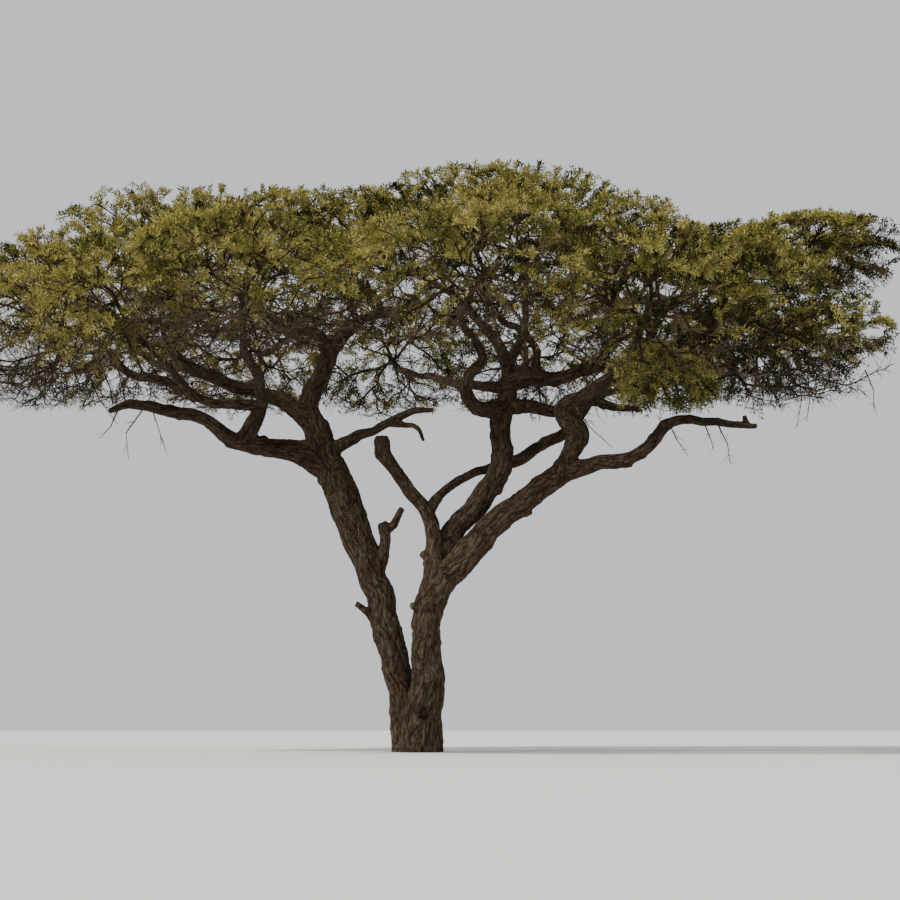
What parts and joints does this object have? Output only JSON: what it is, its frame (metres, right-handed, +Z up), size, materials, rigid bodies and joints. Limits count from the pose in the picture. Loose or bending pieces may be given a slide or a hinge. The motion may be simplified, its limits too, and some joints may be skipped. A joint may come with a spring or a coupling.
{
  "type": "acacia tree",
  "caption": "Umbrella thorn acacia: two leaning stems from one root, crooked spreading boughs and a wide flat-topped crown of separate foliage masses.",
  "frame": {"origin": "middle of the flat cut under the right stem, the one in front, at ground level", "axes": "+Z up; the picture looks along +Y, with +X to the right and the leaning stem on the -X side"},
  "size_m": [14.8038, 11.6446, 9.1723],
  "materials": {
    "bark": "dark grey-brown furrowed bark",
    "foliage": "fine olive-green feathery leaves in flat sprays"
  },
  "bodies": {
    "root": {"bough_bar": "bark", "bough_cross": "bark", "bough_hook": "bark", "bough_knee": "bark", "bough_knee_hook": "bark", "bough_left_front": "bark", "bough_left_rear": "bark", "bough_long_left": "bark", "bough_low_left": "bark", "bough_low_riser": "bark", "bough_mid_left": "bark", "bough_rear_left": "bark", "bough_rear_middle": "bark", "bough_rear_right": "bark", "bough_right": "bark", "bough_right_front": "bark", "bough_right_lower": "bark", "bough_right_rear": "bark", "bough_right_upper": "bark", "bough_riser": "bark", "bough_s_bend": "bark", "bough_side": "bark", "bough_top_right": "bark", "bough_upper": "bark", "foliage_back_left": "foliage", "foliage_back_right": "foliage", "foliage_centre": "foliage", "foliage_centre_right": "foliage", "foliage_far_left": "foliage", "foliage_far_right_lower": "foliage", "foliage_far_right_upper": "foliage", "foliage_front_centre": "foliage", "foliage_front_far_right": "foliage", "foliage_front_left": "foliage", "foliage_front_mid_left": "foliage", "foliage_front_right": "foliage", "foliage_left": "foliage", "foliage_low_lobe": "foliage", "foliage_mid_left": "foliage", "foliage_rear_far_left": "foliage", "foliage_rear_far_right": "foliage", "foliage_rear_left": "foliage", "foliage_rear_mid_left": "foliage", "foliage_rear_mid_right": "foliage", "foliage_rear_right": "foliage", "foliage_right": "foliage", "foliage_top_left": "foliage", "foliage_top_right": "foliage", "fork_left": "bark", "fork_right": "bark", "limb_left": "bark", "limb_middle": "bark", "limb_right": "bark", "limb_thin": "bark", "stem_left": "bark", "stem_right": "bark", "stub_broken": "bark"}
  },
  "joints": []
}
